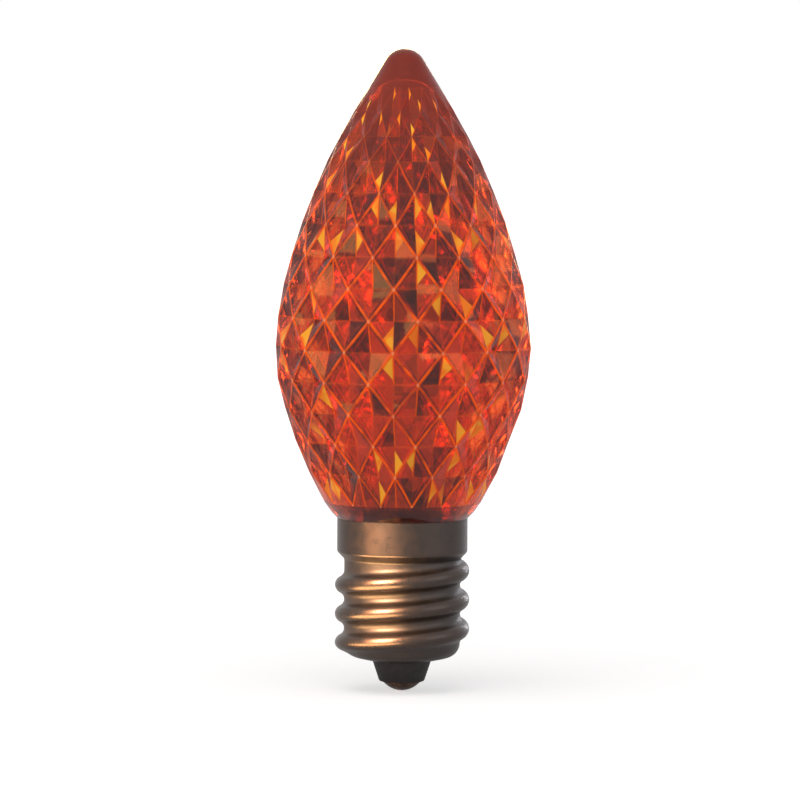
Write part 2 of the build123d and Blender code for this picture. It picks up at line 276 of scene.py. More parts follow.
class Bench:
    """Lays out the nodes of one material, or of the world."""

    def __init__(self, name: str, world: bool = False) -> None:
        """Starts with nothing but the output.

        Args:
            name: The name of the material or of the world.
            world: Whether it is the world.
        """
        self.owner = (bpy.data.worlds if world else bpy.data.materials).new(name)
        self.owner.use_nodes = True
        self.tree = self.owner.node_tree
        self.tree.nodes.clear()
        self.output = self.node("ShaderNodeOutputWorld" if world else "ShaderNodeOutputMaterial")

    def node(self, kind: str, **values: object) -> bpy.types.Node:
        """Adds a node.

        Args:
            kind: Blender's name for it.
            **values: Its inputs, with _ for a space in a name.

        Returns:
            The node.
        """
        node = self.tree.nodes.new(kind)
        for name, value in values.items():
            self.put(node.inputs[name.replace("_", " ")], value)
        return node

    def show(self, shader: bpy.types.Node) -> None:
        """Joins a shader to the output."""
        self.put(self.output.inputs["Surface"], shader.outputs[0])

    def put(self, socket: Socket, value: object) -> None:
        """Links a socket to another, or sets its number or colour.

        Args:
            socket: The input that is set.
            value: A socket, a number or a colour.
        """
        if isinstance(value, Socket):
            self.tree.links.new(value, socket)
        elif isinstance(value, tuple) and len(value) == 3 and socket.type == "RGBA":
            socket.default_value = (*value, 1.0)
        else:
            socket.default_value = value

    def math(self, operation: str, a: object, b: object = 0.0, c: object = 0.0) -> Socket:
        """Calculates with numbers or sockets.

        Args:
            operation: Blender's name for the calculation.
            a: The first number or socket.
            b: The second.
            c: The third, where the calculation has one.

        Returns:
            The result's socket.
        """
        node = self.node("ShaderNodeMath")
        node.operation = operation
        for socket, value in zip(node.inputs, (a, b, c)):
            self.put(socket, value)
        return node.outputs[0]

    def millimetres(self, stretch: tuple[float, float, float] = (1, 1, 1)) -> Socket:
        """The place on the piece in millimetres, with each direction stretched.

        Args:
            stretch: How many times denser a pattern is along X, Y and Z.

        Returns:
            The vector's socket.
        """
        place = self.node("ShaderNodeTexCoord").outputs["Object"]
        scale = tuple(share / MM for share in stretch)
        return self.node("ShaderNodeMapping", Vector=place, Scale=scale).outputs["Vector"]

    def split(self) -> tuple[Socket, Socket, Socket]:
        """Takes the place on the piece apart.

        Returns:
            X, Y and Z in millimetres, each on a socket of its own.
        """
        return tuple(self.node("ShaderNodeSeparateXYZ", Vector=self.millimetres()).outputs)

    def from_axis(self, x: Socket, y: Socket) -> Socket:
        """How far a place is from the bulb's axis, in millimetres."""
        squares = (self.math("MULTIPLY", place, place) for place in (x, y))
        return self.math("SQRT", self.math("ADD", *squares))

    def noise(
        self, size: float, detail: float = 2.0, stretch: tuple[float, float, float] = (1, 1, 1)
    ) -> Socket:
        """Irregular mottling.

        Args:
            size: How large a mottle is, in millimetres.
            detail: How many finer layers it has.
            stretch: How many times denser it is along X, Y and Z.

        Returns:
            The factor's socket, from 0 to 1.
        """
        place = self.millimetres(stretch)
        node = self.node("ShaderNodeTexNoise", Scale=1 / size, Detail=detail, Vector=place)
        return node.outputs["Fac"]

    def shards(self, size: float) -> Socket:
        """Angular patches, each of one random tone.

        Args:
            size: How large a patch is, in millimetres.

        Returns:
            The tone's socket, from 0 to 1.
        """
        node = self.node("ShaderNodeTexVoronoi", Scale=1 / size, Vector=self.millimetres())
        return node.outputs["Color"]

    def span(
        self, value: object, low: float, high: float, to_low: object = 0.0, to_high: object = 1.0
    ) -> Socket:
        """Maps one range of numbers smoothly to another and stays within it.

        Args:
            value: The number's socket.
            low: The value that gives to_low.
            high: The value that gives to_high.
            to_low: The result at low.
            to_high: The result at high.

        Returns:
            The result's socket.
        """
        node = self.node("ShaderNodeMapRange")
        node.interpolation_type = "SMOOTHSTEP"
        names = ("Value", "From Min", "From Max", "To Min", "To Max")
        for name, number in zip(names, (value, low, high, to_low, to_high)):
            self.put(node.inputs[name], number)
        return node.outputs["Result"]

    def blend(self, factor: object, a: object, b: object) -> Socket:
        """Blends two colours.

        Args:
            factor: 0 gives the first and 1 the second.
            a: The first colour.
            b: The second colour.

        Returns:
            The colour's socket.
        """
        node = self.node("ShaderNodeMix", Factor=factor)
        node.data_type = "RGBA"
        colours = [socket for socket in node.inputs if socket.type == "RGBA"]
        for socket, value in zip(colours, (a, b)):
            self.put(socket, value)
        return next(socket for socket in node.outputs if socket.type == "RGBA")

    def bump(self, height: Socket, depth: float, strength: float) -> Socket:
        """Relief finer than the mesh.

        Args:
            height: The height's socket, from 0 to 1.
            depth: How deep the relief is, in millimetres.
            strength: How much of it shows.

        Returns:
            The normal's socket.
        """
        node = self.node("ShaderNodeBump", Distance=depth * MM, Strength=strength, Height=height)
        return node.outputs["Normal"]

    def surface(self, **values: object) -> None:
        """Adds the main shader with its inputs, and joins it to the output."""
        self.show(self.node("ShaderNodeBsdfPrincipled", **values))


@dataclass(frozen=True)
class LensPlastic:
    """See-through orange plastic, faintly hazy, with frosted lines along the edges of its facets,
    which also carry a painted glow and highlights; its glints and facet tones are painted light and
    shade.

    Sizes and heights are in millimetres, and edges within a diamond are shares of half of it.
    """

    # deep and middle are the dark and pale ends of the facets' painted light and shade
    deep: Colour = (0.17, 0.046, 0.032)
    middle: Colour = (0.95, 0.17, 0.022)
    # Painted glints: clear is their orange edge, and the next colour their golden heart
    clear: Colour = (1.0, 0.24, 0.02)
    bright: Colour = (1.0, 0.63, 0.055)
    # The lines' colour: frosted plastic that also stands for a painted glow
    line: Colour = (0.95, 0.155, 0.014)
    # Painted highlight: the pale colour where two ridges cross stands for the glint on each peak
    crossing: Colour = (0.95, 0.42, 0.22)
    brick: Colour = (0.36, 0.058, 0.034)
    absorbed: Colour = (0.88, 0.38, 0.1)
    density: float = 250.0
    refraction: float = 1.5
    gloss: float = 0.08

    # The ridges' lines, frosted and partly a painted glow and highlight, the painted highlights
    # where they cross, and the fainter painted lines in the valleys of each diamond
    ridge_edge: Ramp = (0.104, 0.052, 0.0, 1.0)
    upright_edge: Ramp = (0.048, 0.018, 0.0, 1.0)
    level_edge: Ramp = (0.048, 0.018, 0.0, 0.26)
    crossing_highlight_edge: Ramp = (0.9, 0.96, 0.0, 1.0)
    line_wear_and_highlight_size: float = 1.6
    line_wear_and_highlight: Ramp = (0.35, 0.6, 0.55, 1.0)
    # Painted: the upright valley line is stronger in the upper half of a diamond, where the light
    # fell
    upright_below: float = 0.2
    upright_above: float = 0.85

    # The facets' tones, painted light and shade: random from facet to facet, shaded beside the
    # ridges, paler towards the neck and darker towards the tip
    facet_contrast: float = 0.9
    shard: float = 1.1
    shard_contrast: float = 0.5
    shard_offset: float = -0.2
    painted_neck_light: float = 0.26
    painted_tip_shade: float = -0.16
    rim_shade: Ramp = (0.078, 0.234, 0.32, -0.05)
    tone_reach: Ramp = (0.3, 0.8, 0.0, 1.0)

    # The painted glints, which take the steep corners of a few facets and are golden at heart
    chosen_edge: Ramp = (0.86, 0.89, 0.0, 1.0)
    steep_edge: Ramp = (0.1, 0.15, 0.0, 1.0)
    more_near_neck: float = 0.08
    narrower_near_tip: float = 0.34
    heart_size: float = 1.2
    heart_ragged: float = 0.4
    heart_edge: Ramp = (0.2, 0.36, 0.0, 1.0)
    gold_size: float = 2.5
    gold_patches: Ramp = (0.42, 0.56, 0.3, 1.0)

    # How the cut body turns into the plain, hazier tip
    sparser_from: float = 30.0
    plain_from: float = 39.0
    plain_to: float = 51.0
    plain_lines: float = 0.15
    plain_cover: float = 0.9
    haze: float = 0.12
    tip_haze: float = 0.5

    # The surface itself
    line_frost: float = 0.7
    painted_glint_opacity: float = 0.9
    line_roughness: float = 0.15
    wear_size: float = 0.25
    wear_roughness: Ramp = (0.3, 0.8, 0.07, 0.12)
    ripple_size: float = 0.9
    wear_relief: float = 0.12
    relief: float = 0.02
    relief_strength: float = 0.35

    def make(self, cut: "DiamondCut") -> bpy.types.Material:
        """Makes the lens's material.

        Args:
            cut: The net of diamonds that the facets follow.

        Returns:
            The material.
        """
        bench = LensBench(self, cut)
        above = bench.math("GREATER_THAN", bench.z, cut.first_height)
        within = bench.math("MULTIPLY", above, bench.math("LESS_THAN", bench.z, cut.last_height))
        fade = bench.span(bench.z, self.plain_from, self.plain_to, 1.0, self.plain_lines)
        fading = bench.math("MULTIPLY", within, fade)
        nearing = bench.span(bench.z, self.plain_from, cut.last_height)

        edge = bench.math("MULTIPLY", bench.lines(), fading)
        # Painted highlight where two ridges cross
        node = bench.math("MULTIPLY", bench.span(bench.crossing, *self.crossing_highlight_edge), fading)
        # Painted glints in the steep corners of a few facets
        glint = bench.math("MULTIPLY", bench.painted_glint_slivers(), within)
        # Painted light and shade in the facets' tones
        tone = bench.span(bench.tone(within, fading), *self.tone_reach)
        facet = bench.blend(tone, self.deep, self.middle)
        facet = bench.blend(glint, facet, bench.painted_glint_colour())
        plain = bench.math("MULTIPLY", nearing, bench.math("SUBTRACT", self.plain_cover, glint))
        facet = bench.blend(plain, facet, self.brick)

        # The painted glints are made opaque so that the lamps light them bright
        opaque_painted_glint = bench.math("MULTIPLY", glint, self.painted_glint_opacity)
        frost = bench.math("MAXIMUM", edge, opaque_painted_glint)
        haze = bench.math("MULTIPLY_ADD", nearing, self.tip_haze - self.haze, self.haze)
        solid = bench.math("MULTIPLY_ADD", frost, self.line_frost, haze)
        wear = bench.noise(self.wear_size, detail=3.0)
        ripple = bench.noise(self.ripple_size, detail=1.0)
        relief = bench.math("MULTIPLY_ADD", wear, self.wear_relief, ripple)
        polish = bench.span(wear, *self.wear_roughness)
        bench.surface(
            Base_Color=bench.blend(node, bench.blend(edge, facet, self.line), self.crossing),
            Roughness=bench.math("MULTIPLY_ADD", edge, self.line_roughness, polish),
            IOR=self.refraction,
            Specular_IOR_Level=self.gloss,
            Transmission_Weight=bench.math("SUBTRACT", 1.0, solid),
            Normal=bench.bump(relief, self.relief, self.relief_strength),
        )
        depth = bench.node("ShaderNodeVolumeAbsorption", Color=self.absorbed, Density=self.density)
        bench.put(bench.output.inputs["Volume"], depth.outputs[0])
        return bench.owner


class LensBench(Bench):
    """Lays out the lens's material over its net of diamonds.

    across and rise run from -1 to 1 through the pit of a diamond, ridge is 0 on a ridge and 1 in
    the pit, crossing is 1 where two ridges cross, and random is a number of each facet's own.
    """

    def __init__(self, look: LensPlastic, cut: "DiamondCut") -> None:
        """Lays the net, whose ridges cross where column and row add up to an odd number.

        Args:
            look: The finish's colours and sizes.
            cut: The net of diamonds that the facets follow.
        """
        super().__init__("lens_plastic_orange")
        self.look, self.cut = look, cut
        x, y, self.z = self.split()
        turn = self.math("SUBTRACT", self.math("ARCTAN2", y, x), math.radians(cut.turn))
        column = self.math("DIVIDE", turn, math.radians(cut.half))
        body = self.math("DIVIDE", self.math("SUBTRACT", self.z, cut.first_height), cut.body_rise)
        tip = self.math("DIVIDE", self.math("SUBTRACT", self.z, cut.tip_start), cut.tip_rise)
        rows = self.math("MINIMUM", body, cut.body_rings)
        row = self.math("ADD", rows, self.math("MAXIMUM", tip, 0.0))
        away, pits = [], []
        for operation in ("ADD", "SUBTRACT"):
            place = self.math(operation, column, row)
            wrapped = self.math("FLOORED_MODULO", self.math("ADD", place, 1.0), 2.0)
            away.append(self.math("SUBTRACT", wrapped, 1.0))
            pit = self.math("ROUND", self.math("SUBTRACT", place, away[-1]))
            pits.append(self.math("FLOORED_MODULO", self.math("ADD", pit, 0.5), 2.0 * cut.around))
        self.across = self.math("MULTIPLY", self.math("ADD", *away), 0.5)
        self.rise = self.math("MULTIPLY", self.math("SUBTRACT", *away), 0.5)
        spread = [self.math("ABSOLUTE", off) for off in away]
        self.ridge = self.math("SUBTRACT", 1.0, self.math("MAXIMUM", *spread))
        self.crossing = self.math("MINIMUM", *spread)
        side = self.math("GREATER_THAN", self.across, 0.0)
        quarter = self.math("MULTIPLY_ADD", self.math("GREATER_THAN", self.rise, 0.0), 2.0, side)
        facet = self.node("ShaderNodeCombineXYZ", X=pits[0], Y=pits[1], Z=quarter).outputs[0]
        self.random = self.node("ShaderNodeTexWhiteNoise", Vector=facet).outputs["Value"]

    def lines(self) -> Socket:
        """Draws the ridges' frosted lines, partly a painted glow and highlight, and the painted
        lines in the valleys.

        Returns:
            How much of a line is there, from 0 to 1.
        """
        look = self.look
        ridge = self.span(self.ridge, *look.ridge_edge)
        wear_and_highlight = self.span(self.noise(look.line_wear_and_highlight_size), *look.line_wear_and_highlight)
        upper = self.math("GREATER_THAN", self.rise, 0.0)
        more_above = look.upright_above - look.upright_below
        upright = self.math(
            "MULTIPLY",
            self.span(self.math("ABSOLUTE", self.across), *look.upright_edge),
            self.math("MULTIPLY_ADD", upper, more_above, look.upright_below),
        )
        level = self.span(self.math("ABSOLUTE", self.rise), *look.level_edge)
        valleys = self.math("MAXIMUM", upright, level)
        return self.math("MAXIMUM", self.math("MULTIPLY", ridge, wear_and_highlight), valleys)

    def tone(self, within: Socket, fading: Socket) -> Socket:
        """Gives each facet its tone, which is painted light and shade, broken up by shards of a
        painted view through the wall.

        Args:
            within: 1 on the cut body and 0 beyond it.
            fading: The same, but less towards the tip.

        Returns:
            The tone, dark to light.
        """
        look, cut = self.look, self.cut
        # Painted light, paler towards the neck and darker towards the tip
        painted_light_by_height = self.span(self.z, cut.first_height, cut.last_height, look.painted_neck_light, look.painted_tip_shade)
        # Shards of a painted view through the wall
        inner = self.math(
            "MULTIPLY_ADD", self.shards(look.shard), look.shard_contrast, look.shard_offset
        )
        # A random tone per facet, painted light coming through some facets and not others
        facets = self.math("MULTIPLY", self.random, within)
        tone = self.math("MULTIPLY_ADD", facets, look.facet_contrast, inner)
        rim = self.math("MULTIPLY", self.span(self.ridge, *look.rim_shade), fading)
        return self.math("SUBTRACT", self.math("ADD", tone, painted_light_by_height), rim)

    def painted_glint_slivers(self) -> Socket:
        """Picks the steep corners of the palest facets for the painted glints, more near the neck
        and fewer near the tip.

        Returns:
            1 in a glint and 0 beside it.
        """
        look = self.look
        more = self.span(self.z, self.cut.first_height, look.sparser_from, look.more_near_neck, 0.0)
        chosen = self.math("ADD", self.random, more)
        steep = self.math(
            "SUBTRACT", self.math("ABSOLUTE", self.rise), self.math("ABSOLUTE", self.across)
        )
        narrower = self.span(self.z, look.plain_from, look.plain_to, 0.0, look.narrower_near_tip)
        steep = self.math("SUBTRACT", steep, narrower)
        return self.math(
            "MULTIPLY",
            self.span(chosen, *look.chosen_edge),
            self.span(steep, *look.steep_edge),
        )

    def painted_glint_colour(self) -> Socket:
        """Colours the painted glints: orange at their edges and golden at heart.

        Returns:
            The colour.
        """
        look = self.look
        inwards = self.math(
            "MULTIPLY_ADD", self.noise(look.heart_size), look.heart_ragged, self.ridge
        )
        heart = self.span(inwards, *look.heart_edge)
        patches = self.span(self.noise(look.gold_size), *look.gold_patches)
        return self.blend(self.math("MULTIPLY", heart, patches), look.clear, look.bright)


@dataclass(frozen=True)
class BronzePlate:
    """Dark bronze plating on rolled sheet, brighter and smoother where the thread's crests rub."""

    root: Colour = (0.066, 0.055, 0.052)
    crest: Colour = (0.074, 0.054, 0.048)
    mottle_size: float = 0.8
    rubbed_patches: Ramp = (0.3, 0.65, 0.55, 1.0)
    dullness: Ramp = (0.25, 0.75, 0.36, 0.46)
    rubbed_smoother: float = 0.12
    coat: float = 0.3
    coat_roughness: float = 0.5
    turning_size: float = 0.35
    turning_stretch: tuple[float, float, float] = (0.35, 0.35, 6.0)
    grain_size: float = 0.12
    grain_share: float = 0.5
    relief: float = 0.006
    relief_strength: float = 0.3

    def make(self, root_radius: float, crest_radius: float) -> bpy.types.Material:
        """Makes the shell's material.

        Args:
            root_radius: Where the plating is dullest, in millimetres from the axis.
            crest_radius: Where it is brightest.

        Returns:
            The material.
        """
        bench = Bench("bronze_plate")
        x, y, _ = bench.split()
        mottle = bench.noise(self.mottle_size, detail=4.0)
        rubbed = bench.span(bench.from_axis(x, y), root_radius, crest_radius)
        patches = bench.span(mottle, *self.rubbed_patches)
        turning = bench.noise(self.turning_size, detail=3.0, stretch=self.turning_stretch)
        grain = bench.math("MULTIPLY_ADD", bench.noise(self.grain_size), self.grain_share, turning)
        dull = bench.span(mottle, *self.dullness)
        bench.surface(
            Base_Color=bench.blend(bench.math("MULTIPLY", rubbed, patches), self.root, self.crest),
            Metallic=1.0,
            Roughness=bench.math("MULTIPLY_ADD", rubbed, -self.rubbed_smoother, dull),
            Coat_Weight=self.coat,
            Coat_Roughness=self.coat_roughness,
            Normal=bench.bump(grain, self.relief, self.relief_strength),
        )
        return bench.owner


@dataclass(frozen=True)
class PlainFinish:
    """A finish of one colour with its mottling, roughness and fine relief."""

    name: str
    colour: Colour
    shade: Colour
    roughness: float
    mottle: float = 0.6
    relief: float = 0.01
    metallic: float = 0.0
    coat: float = 0.0
    transmission: float = 0.0
    gloss: float = 0.5
    finer: float = 6.0
    patch_edges: tuple[float, float] = (0.3, 0.7)
    wear_edges: tuple[float, float] = (0.2, 0.8)
    smoothest: float = 0.8
    roughest: float = 1.3
    relief_strength: float = 0.6

    def make(self) -> bpy.types.Material:
        """Lays out the finish.

        Returns:
            The material.
        """
        bench = Bench(self.name)
        patches = bench.noise(self.mottle, detail=4.0)
        fine = bench.noise(self.mottle / self.finer)
        smooth, rough = self.roughness * self.smoothest, min(1.0, self.roughness * self.roughest)
        blotch = bench.span(patches, *self.patch_edges)
        relief = bench.math("ADD", fine, patches)
        bench.surface(
            Base_Color=bench.blend(blotch, self.colour, self.shade),
            Metallic=self.metallic,
            Roughness=bench.span(fine, *self.wear_edges, smooth, rough),
            Coat_Weight=self.coat,
            Specular_IOR_Level=self.gloss,
            Transmission_Weight=self.transmission,
            Normal=bench.bump(relief, self.relief, self.relief_strength),
        )
        return bench.owner


class Finish(Enum):
    """Finishes of the small pieces."""

    INSULATOR = PlainFinish(
        "insulator_black", (0.06, 0.052, 0.054), (0.075, 0.066, 0.068), 0.55, gloss=0.3
    )
    CONTACT = PlainFinish(
        "contact_bronze", (0.15, 0.09, 0.065), (0.08, 0.056, 0.046), 0.3, 0.5, metallic=1.0
    )
    COLLAR = PlainFinish("collar_white", (0.74, 0.72, 0.66), (0.66, 0.63, 0.57), 0.5)
    BOARD = PlainFinish("board_laminate", (0.86, 0.84, 0.78), (0.78, 0.76, 0.7), 0.45, 0.4)
    RESIN = PlainFinish(
        "led_resin_amber", (0.95, 0.62, 0.2), (0.9, 0.5, 0.12), 0.12, transmission=0.8
    )
    PACKAGE = PlainFinish("package_black", (0.02, 0.02, 0.022), (0.035, 0.035, 0.037), 0.55, 0.3)
    CAN = PlainFinish("capacitor_can", (0.62, 0.62, 0.64), (0.5, 0.5, 0.52), 0.3, metallic=1.0)
    LACQUER = PlainFinish(
        "resistor_lacquer", (0.55, 0.4, 0.22), (0.45, 0.32, 0.17), 0.35, coat=0.4
    )
    TINNED = PlainFinish(
        "tinned_wire", (0.7, 0.69, 0.66), (0.5, 0.49, 0.47), 0.32, 0.3, metallic=1.0
    )


# The lens


@dataclass(frozen=True)
class DiamondCut:
    """The net of sunk diamonds, whose ridges cross half a diamond apart.

    Millimetres and degrees.
    """

    around: int = 16
    turn: float = -94.6
    depth: float = 0.75
    first_height: float = 16.5
    last_height: float = 52.5
    body_rings: int = 11
    tip_rings: int = 3
    tip_share: float = 0.778

    @property
    def half(self) -> float:
        """Half a diamond, in degrees round the axis."""
        return 180 / self.around

    @property
    def body_rise(self) -> float:
        """Height from one ring of crossings to the next, on the body."""
        rings = self.body_rings + self.tip_rings * self.tip_share
        return (self.last_height - self.first_height) / rings

    @property
    def tip_rise(self) -> float:
        """Height from one ring of crossings to the next, near the tip."""
        return self.body_rise * self.tip_share

    @property
    def tip_start(self) -> float:
        """Height of the ring where the closer rings begin."""
        return self.first_height + self.body_rise * self.body_rings

    def heights(self) -> list[float]:
        """Heights of the rings, from the neck to the tip."""
        body = [self.first_height + self.body_rise * i for i in range(self.body_rings + 1)]
        return body + [self.tip_start + self.tip_rise * (i + 1) for i in range(self.tip_rings)]


@dataclass
class FacetedLens:
    """The hollow diamond-cut lens, with the neck that plugs into the skirt.

    Millimetres and degrees.
    """

    cut: DiamondCut = DiamondCut()
    plastic: LensPlastic = LensPlastic()
    belly_radius: float = 11.14
    tip_height: float = 55.8
    tip_radius: float = 1.9
    tip_angle: float = 31.0
    wall: float = 1.6
    tip_wall: float = 3.2
    skirt_radius: float = 5.68
    skirt_top: float = 15.05
    spigot_radius: float = 5.33
    spigot_bottom: float = 12.9
    spigot_round: float = 0.15
    bore_radius: float = 4.13
    throat_share: float = 0.4
    throat_fullness: float = 0.08
    throat_round: float = 1.2
    skirt_gap: float = 0.02
    ridge_width: float = 0.12
    ridge_steps: int = 3
    smooth_steps: int = 96
    tip_steps: int = 14
    tip_run: float = 0.5
    dome_steps: int = 10
    inner_run: float = 1.4
    neck_band: Point = (0.1, 0.12)
    tip_band: Point = (0.06, 0.1)
    band_reach: float = 0.2
    ring_tolerance: float = 0.004
    sharp_from: float = 30.0

    def __post_init__(self) -> None:
        """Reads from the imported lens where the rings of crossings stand, and how they face."""
        places = [vertex.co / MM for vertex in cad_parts["lens"].data.vertices]
        self.points: Outline = []
        for height in self.cut.heights():
            ring = [place for place in places if abs(place.z - height) < self.ring_tolerance]
            self.points.append((max(math.hypot(place.x, place.y) for place in ring), height))
        # The outward direction at each ring, in radius and height
        self.slopes: list[Vector] = []
        for low, high in zip([self.points[0], *self.points], [*self.points[1:], self.points[-1]]):
            self.slopes.append(Vector((high[1] - low[1], low[0] - high[0])).normalized())

    def net(self) -> Piece:
        """Makes the cut body: a turned net with its diamonds sunk and its ridges rounded.

        Returns:
            The open band between the first and the last ring.
        """
        cut, points, slopes = self.cut, self.points, self.slopes
        piece = turned("faceted_lens", points, 2 * cut.around, start=cut.turn)
        last = len(points) - 1

        def lattice(co: Vector) -> tuple[int, int]:
            """Finds the ring and the column of a vertex of the net, from its place."""
            ring = min(range(last + 1), key=lambda i: abs(points[i][1] - co.z / MM))
            return ring, round((math.degrees(math.atan2(co.y, co.x)) - cut.turn) / cut.half)

        crossings: set[int] = set()
        for vertex in piece.data.vertices:
            ring, column = lattice(vertex.co)
            if (ring + column) % 2:
                crossings.add(vertex.index)
                continue
            if ring in (0, last):
                continue
            radius, height = points[ring]
            depth = cut.depth * radius / self.belly_radius
            sunk = radius * math.cos(math.radians(cut.half)) - depth * slopes[ring].x
            across = Vector((vertex.co.x, vertex.co.y, 0)).normalized() * sunk * MM
            vertex.co = across + Vector((0, 0, (height - depth * slopes[ring].y) * MM))
        clear_mesh_selection(piece.data)
        for index in crossings:
            piece.data.vertices[index].select = True
        with editing(piece, Pick.VERTICES):
            bpy.ops.mesh.vert_connect()
        select_edges(piece.data, lambda edge: crossings.issuperset(edge.vertices))
        with editing(piece, Pick.EDGES):
            bpy.ops.mesh.bevel(
                offset=self.ridge_width / 2 * MM,
                segments=self.ridge_steps,
                profile=0.5,
                affect="EDGES",
                clamp_overlap=True,
            )
        return piece

    def cap(self) -> Piece:
        """Makes the smooth tip above the last ring.

        Returns:
            The tip, open at the bottom.
        """
        centre = self.tip_height - self.tip_radius
        radius, height = self.points[-1]
        inwards, upwards = self.tip_band
        outline: Outline = [(radius - inwards, height + upwards)]
        for step in range(self.tip_steps):
            angle = math.radians(self.tip_angle + (90 - self.tip_angle) * step / self.tip_steps)
            rise = centre + self.tip_radius * math.sin(angle)
            outline.append((self.tip_radius * math.cos(angle), rise))
        outline.append((0.0, self.tip_height))
        outline = divided(outline, self.tip_run)
        return turned("lens_tip", outline, self.smooth_steps, start=self.cut.turn)

    def inside(self) -> Piece:
        """Makes the neck, the spigot and the inner wall.

        Returns:
            The surface from just under the first ring to the top of the hollow.
        """
        points, slopes = self.points, self.slopes
        first, height = points[0]
        inwards, downwards = self.neck_band
        throat, throat_height = between(
            (self.skirt_radius, self.skirt_top), points[0], self.throat_share
        )
        outline = rounded(
            [
                (first - inwards, height - downwards, 0.0),
                (throat + self.throat_fullness, throat_height, self.throat_round),
                (self.skirt_radius, self.skirt_top + self.skirt_gap, 0.0),
            ]
        )
        outline += rounded(
            [
                (self.spigot_radius, self.skirt_top, 0.0),
                (self.spigot_radius, self.spigot_bottom, self.spigot_round),
                (self.bore_radius, self.spigot_bottom, self.spigot_round),
                (self.bore_radius, self.skirt_top, 0.0),
            ]
        )
        wall = [(r - n.x * self.wall, z - n.y * self.wall) for (r, z), n in zip(points, slopes)]
        for here, above in zip(wall, wall[1:]):
            outline += [here, between(here, above, 0.5)]
        top = self.tip_height - self.tip_wall
        foot, (away, up) = Vector(wall[-1]), slopes[-1]
        knee = Vector((foot.x - (top - foot.y) * up / away, top))
        peak = Vector((0.0, top))
        for step in range(self.dome_steps):
            share = step / self.dome_steps
            outline.append(tuple(foot.lerp(knee, share).lerp(knee.lerp(peak, share), share)))
        outline = divided(outline + [(0.0, top)], self.inner_run)
        return turned("lens_inside", outline, self.smooth_steps, start=self.cut.turn)

    def bridge(self, piece: Piece, height: float) -> None:
        """Closes the narrow open band at a height between the cut body and a smooth part.

        Args:
            piece: The joined lens.
            height: The height of the ring that the band starts from, in millimetres.
        """
        mesh = piece.data
        faces = Counter(key for polygon in mesh.polygons for key in polygon.edge_keys)

        def is_rim(edge: bpy.types.MeshEdge) -> bool:
            """Whether an edge is open and near the band's height."""
            ends = (mesh.vertices[index].co.z / MM for index in edge.vertices)
            return faces[edge.key] == 1 and all(abs(z - height) < self.band_reach for z in ends)

        select_edges(mesh, is_rim)
        with editing(piece, Pick.EDGES):
            bpy.ops.mesh.bridge_edge_loops()

    def build(self) -> Piece:
        """Models the lens and hands it to the frame.

        Returns:
            The lens.
        """
        lens = self.net()
        parts = [self.cap(), self.inside()]
        take(lens)
        for part in parts:
            part.select_set(True)
        bpy.ops.object.join()
        for _, height in (self.points[0], self.points[-1]):
            self.bridge(lens, height)
        close_up(lens)
        shade(lens, self.sharp_from)
        apply_modifier(lens, "WEIGHTED_NORMAL", keep_sharp=True, weight=90)
        install(lens, self.plastic.make(self.cut), "lens")
        return lens


# The screw base


